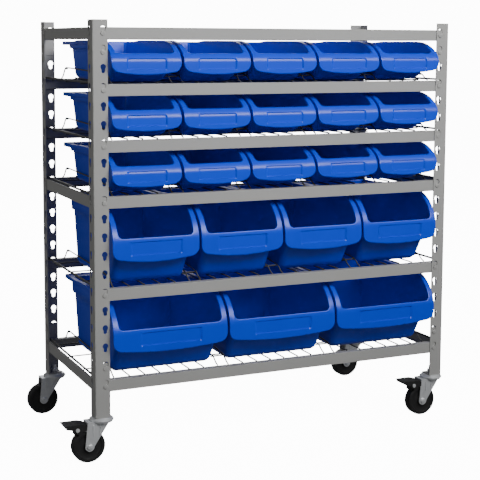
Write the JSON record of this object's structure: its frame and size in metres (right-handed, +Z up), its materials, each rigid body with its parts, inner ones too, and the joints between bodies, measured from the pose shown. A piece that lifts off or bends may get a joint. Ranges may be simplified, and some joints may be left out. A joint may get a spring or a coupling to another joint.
{
  "type": "mobile bin cart",
  "caption": "Rolling shelf cart of slotted angle posts, beams and wire shelves, holding pull-out blue plastic bins, on swivel casters with front brakes.",
  "frame": {"origin": "on the floor, under the centre of the four posts", "axes": "+Z up, +X to the right seen from the front, +Y from the bins' lips to the back"},
  "size_m": [0.9955, 0.4544, 0.9876],
  "materials": {
    "powder_coat": "satin light grey powder coat on sheet steel",
    "wire_coat": "light grey powder coat on steel wire",
    "zinc_plate": "bright zinc plate on pressed steel",
    "wheel_rubber": "hard black polyolefin, satin",
    "pedal_plastic": "black moulded plastic, matte",
    "bin_plastic": "blue moulded polypropylene, semi-gloss"
  },
  "bodies": {
    "frame": {"post_front_left": "powder_coat", "post_front_right": "powder_coat", "post_rear_left": "powder_coat", "post_rear_right": "powder_coat", "front_beam_1": "powder_coat", "front_beam_2": "powder_coat", "front_beam_3": "powder_coat", "front_beam_4": "powder_coat", "front_beam_5": "powder_coat", "front_beam_6": "powder_coat", "rear_beams": "powder_coat", "side_beams": "powder_coat", "beam_rivets": "powder_coat", "wire_shelf_1": "wire_coat", "wire_shelf_2": "wire_coat", "wire_shelf_3": "wire_coat", "wire_shelf_4": "wire_coat", "wire_shelf_5": "wire_coat", "foot_plates": "powder_coat", "caster_stems": "zinc_plate", "stem_nuts": "zinc_plate", "swivel_bearings": "zinc_plate"},
    "caster_front_left": {"caster_fork_front_left": "zinc_plate", "wheel_axle_front_left": "zinc_plate", "brake_pin_front_left": "zinc_plate"},
    "wheel_front_left": {"caster_wheel_front_left": "wheel_rubber"},
    "brake_front_left": {"brake_pedal_front_left": "pedal_plastic"},
    "caster_front_right": {"caster_fork_front_right": "zinc_plate", "wheel_axle_front_right": "zinc_plate", "brake_pin_front_right": "zinc_plate"},
    "wheel_front_right": {"caster_wheel_front_right": "wheel_rubber"},
    "brake_front_right": {"brake_pedal_front_right": "pedal_plastic"},
    "caster_rear_left": {"caster_fork_rear_left": "zinc_plate", "wheel_axle_rear_left": "zinc_plate"},
    "wheel_rear_left": {"caster_wheel_rear_left": "wheel_rubber"},
    "caster_rear_right": {"caster_fork_rear_right": "zinc_plate", "wheel_axle_rear_right": "zinc_plate"},
    "wheel_rear_right": {"caster_wheel_rear_right": "wheel_rubber"},
    "small_bin_1_1": {"small_bin_1_1": "bin_plastic"},
    "small_bin_1_2": {"small_bin_1_2": "bin_plastic"},
    "small_bin_1_3": {"small_bin_1_3": "bin_plastic"},
    "small_bin_1_4": {"small_bin_1_4": "bin_plastic"},
    "small_bin_1_5": {"small_bin_1_5": "bin_plastic"},
    "small_bin_2_1": {"small_bin_2_1": "bin_plastic"},
    "small_bin_2_2": {"small_bin_2_2": "bin_plastic"},
    "small_bin_2_3": {"small_bin_2_3": "bin_plastic"},
    "small_bin_2_4": {"small_bin_2_4": "bin_plastic"},
    "small_bin_2_5": {"small_bin_2_5": "bin_plastic"},
    "small_bin_3_1": {"small_bin_3_1": "bin_plastic"},
    "small_bin_3_2": {"small_bin_3_2": "bin_plastic"},
    "small_bin_3_3": {"small_bin_3_3": "bin_plastic"},
    "small_bin_3_4": {"small_bin_3_4": "bin_plastic"},
    "small_bin_3_5": {"small_bin_3_5": "bin_plastic"},
    "medium_bin_4_1": {"medium_bin_4_1": "bin_plastic"},
    "medium_bin_4_2": {"medium_bin_4_2": "bin_plastic"},
    "medium_bin_4_3": {"medium_bin_4_3": "bin_plastic"},
    "medium_bin_4_4": {"medium_bin_4_4": "bin_plastic"},
    "large_bin_5_1": {"large_bin_5_1": "bin_plastic"},
    "large_bin_5_2": {"large_bin_5_2": "bin_plastic"},
    "large_bin_5_3": {"large_bin_5_3": "bin_plastic"}
  },
  "joints": [
    {"name": "swivel_front_left", "type": "hinge", "parent": "frame", "child": "caster_front_left", "pos_m": [-0.438, -0.195, 0.095], "axis": [0, 0, 1], "continuous": true},
    {"name": "roll_front_left", "type": "hinge", "parent": "caster_front_left", "child": "wheel_front_left", "pos_m": [-0.47, -0.195, 0.0381], "axis": [0, 1, 0], "continuous": true},
    {"name": "brake_press_front_left", "type": "hinge", "parent": "caster_front_left", "child": "brake_front_left", "pos_m": [-0.499, -0.195, 0.081], "axis": [0, -1, 0], "range_deg": [0, 10]},
    {"name": "swivel_front_right", "type": "hinge", "parent": "frame", "child": "caster_front_right", "pos_m": [0.438, -0.195, 0.095], "axis": [0, 0, 1], "continuous": true},
    {"name": "roll_front_right", "type": "hinge", "parent": "caster_front_right", "child": "wheel_front_right", "pos_m": [0.406, -0.195, 0.0381], "axis": [0, 1, 0], "continuous": true},
    {"name": "brake_press_front_right", "type": "hinge", "parent": "caster_front_right", "child": "brake_front_right", "pos_m": [0.377, -0.195, 0.081], "axis": [0, -1, 0], "range_deg": [0, 10]},
    {"name": "swivel_rear_left", "type": "hinge", "parent": "frame", "child": "caster_rear_left", "pos_m": [-0.438, 0.195, 0.095], "axis": [0, 0, 1], "continuous": true},
    {"name": "roll_rear_left", "type": "hinge", "parent": "caster_rear_left", "child": "wheel_rear_left", "pos_m": [-0.47, 0.195, 0.0381], "axis": [0, 1, 0], "continuous": true},
    {"name": "swivel_rear_right", "type": "hinge", "parent": "frame", "child": "caster_rear_right", "pos_m": [0.438, 0.195, 0.095], "axis": [0, 0, 1], "continuous": true},
    {"name": "roll_rear_right", "type": "hinge", "parent": "caster_rear_right", "child": "wheel_rear_right", "pos_m": [0.406, 0.195, 0.0381], "axis": [0, 1, 0], "continuous": true},
    {"name": "pull_out_small_bin_1_1", "type": "slide", "parent": "frame", "child": "small_bin_1_1", "axis": [0, -1, 0], "range_m": [0, 0.43]},
    {"name": "pull_out_small_bin_1_2", "type": "slide", "parent": "frame", "child": "small_bin_1_2", "axis": [0, -1, 0], "range_m": [0, 0.43]},
    {"name": "pull_out_small_bin_1_3", "type": "slide", "parent": "frame", "child": "small_bin_1_3", "axis": [0, -1, 0], "range_m": [0, 0.43]},
    {"name": "pull_out_small_bin_1_4", "type": "slide", "parent": "frame", "child": "small_bin_1_4", "axis": [0, -1, 0], "range_m": [0, 0.43]},
    {"name": "pull_out_small_bin_1_5", "type": "slide", "parent": "frame", "child": "small_bin_1_5", "axis": [0, -1, 0], "range_m": [0, 0.43]},
    {"name": "pull_out_small_bin_2_1", "type": "slide", "parent": "frame", "child": "small_bin_2_1", "axis": [0, -1, 0], "range_m": [0, 0.43]},
    {"name": "pull_out_small_bin_2_2", "type": "slide", "parent": "frame", "child": "small_bin_2_2", "axis": [0, -1, 0], "range_m": [0, 0.43]},
    {"name": "pull_out_small_bin_2_3", "type": "slide", "parent": "frame", "child": "small_bin_2_3", "axis": [0, -1, 0], "range_m": [0, 0.43]},
    {"name": "pull_out_small_bin_2_4", "type": "slide", "parent": "frame", "child": "small_bin_2_4", "axis": [0, -1, 0], "range_m": [0, 0.43]},
    {"name": "pull_out_small_bin_2_5", "type": "slide", "parent": "frame", "child": "small_bin_2_5", "axis": [0, -1, 0], "range_m": [0, 0.43]},
    {"name": "pull_out_small_bin_3_1", "type": "slide", "parent": "frame", "child": "small_bin_3_1", "axis": [0, -1, 0], "range_m": [0, 0.43]},
    {"name": "pull_out_small_bin_3_2", "type": "slide", "parent": "frame", "child": "small_bin_3_2", "axis": [0, -1, 0], "range_m": [0, 0.43]},
    {"name": "pull_out_small_bin_3_3", "type": "slide", "parent": "frame", "child": "small_bin_3_3", "axis": [0, -1, 0], "range_m": [0, 0.43]},
    {"name": "pull_out_small_bin_3_4", "type": "slide", "parent": "frame", "child": "small_bin_3_4", "axis": [0, -1, 0], "range_m": [0, 0.43]},
    {"name": "pull_out_small_bin_3_5", "type": "slide", "parent": "frame", "child": "small_bin_3_5", "axis": [0, -1, 0], "range_m": [0, 0.43]},
    {"name": "pull_out_medium_bin_4_1", "type": "slide", "parent": "frame", "child": "medium_bin_4_1", "axis": [0, -1, 0], "range_m": [0, 0.43]},
    {"name": "pull_out_medium_bin_4_2", "type": "slide", "parent": "frame", "child": "medium_bin_4_2", "axis": [0, -1, 0], "range_m": [0, 0.43]},
    {"name": "pull_out_medium_bin_4_3", "type": "slide", "parent": "frame", "child": "medium_bin_4_3", "axis": [0, -1, 0], "range_m": [0, 0.43]},
    {"name": "pull_out_medium_bin_4_4", "type": "slide", "parent": "frame", "child": "medium_bin_4_4", "axis": [0, -1, 0], "range_m": [0, 0.43]},
    {"name": "pull_out_large_bin_5_1", "type": "slide", "parent": "frame", "child": "large_bin_5_1", "axis": [0, -1, 0], "range_m": [0, 0.43]},
    {"name": "pull_out_large_bin_5_2", "type": "slide", "parent": "frame", "child": "large_bin_5_2", "axis": [0, -1, 0], "range_m": [0, 0.43]},
    {"name": "pull_out_large_bin_5_3", "type": "slide", "parent": "frame", "child": "large_bin_5_3", "axis": [0, -1, 0], "range_m": [0, 0.43]}
  ]
}
